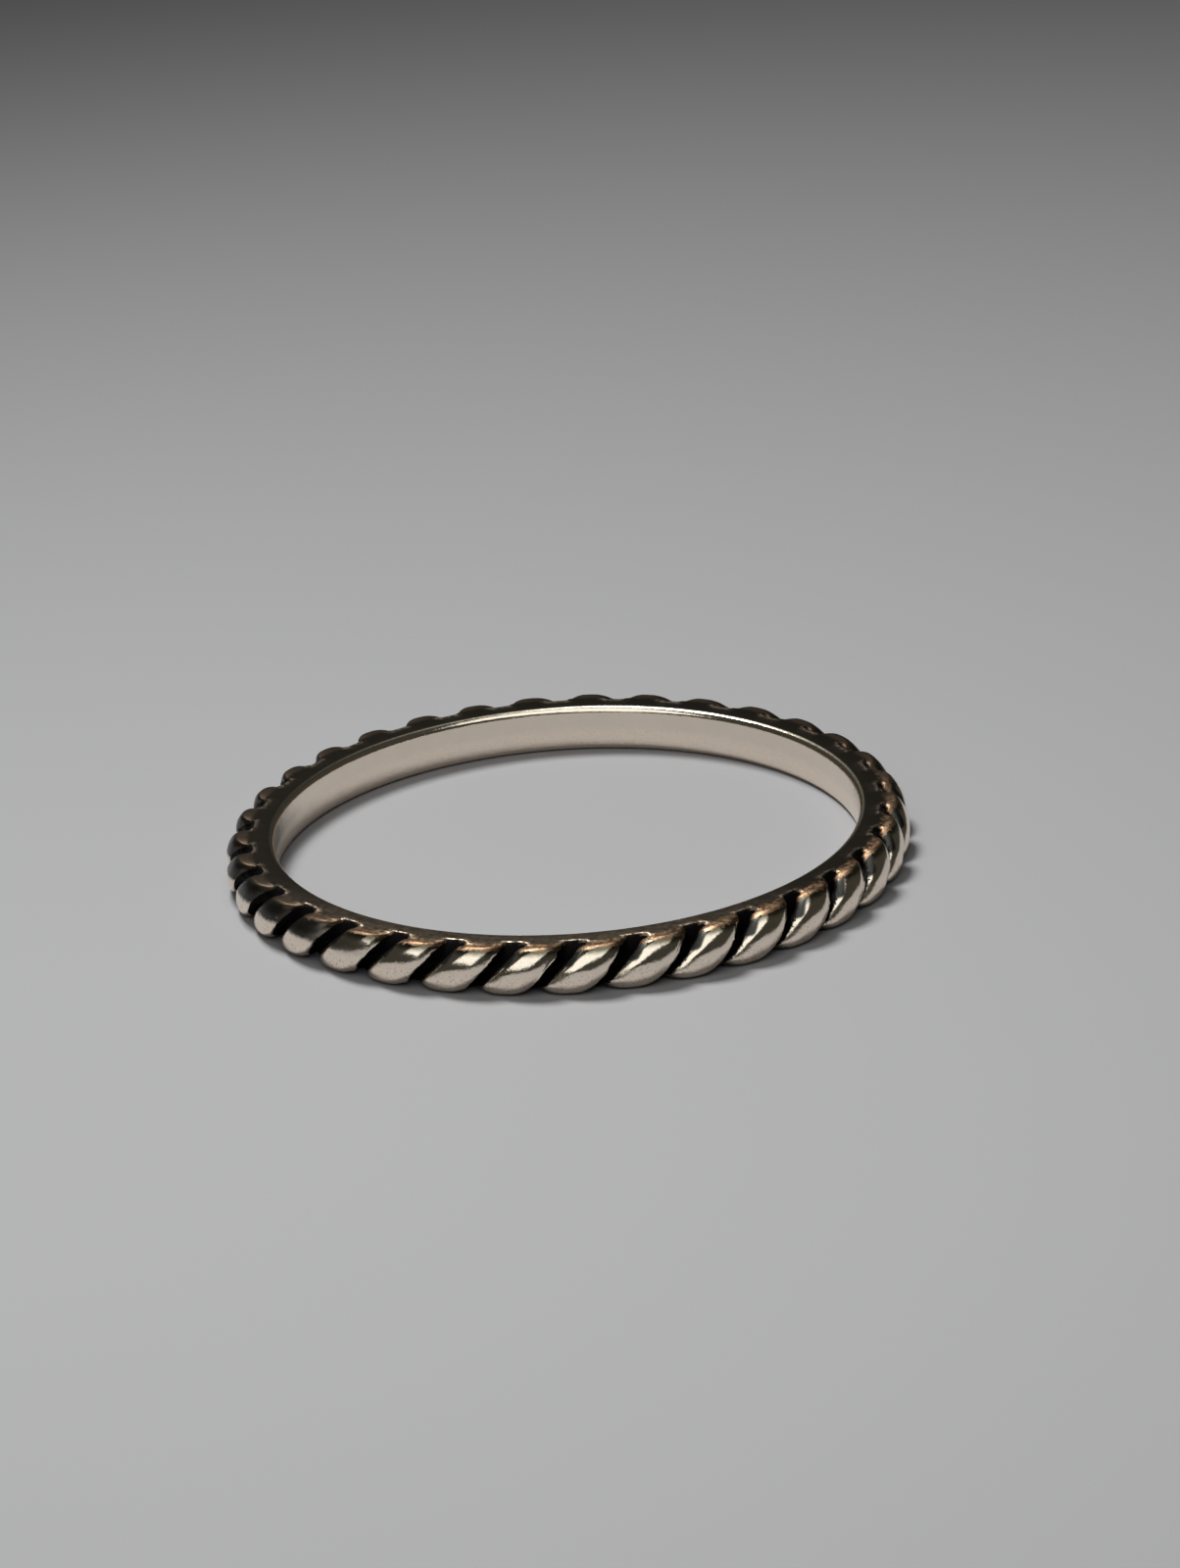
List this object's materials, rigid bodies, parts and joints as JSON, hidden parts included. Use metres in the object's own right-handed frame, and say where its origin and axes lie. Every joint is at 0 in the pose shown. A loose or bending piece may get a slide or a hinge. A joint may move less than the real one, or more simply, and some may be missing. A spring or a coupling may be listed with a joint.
{
  "type": "rope twist ring",
  "caption": "Slim one-piece finger ring: plain polished bore, smooth rims, and slanted pillow-shaped lobes with deep dark grooves round the outside, like twisted rope.",
  "frame": {"origin": "on the axis of the finger bore, on the plane that the ring lies on", "axes": "+Z along the finger bore, up as the ring lies on its side; the ring looks the same every 360/34 degrees round Z"},
  "size_m": [0.0202, 0.0202, 0.0014],
  "materials": {
    "silver": "polished cast sterling silver, black oxide in the grooves, brown tarnish on the side faces"
  },
  "bodies": {
    "root": {"twist_band": "silver"}
  },
  "joints": []
}
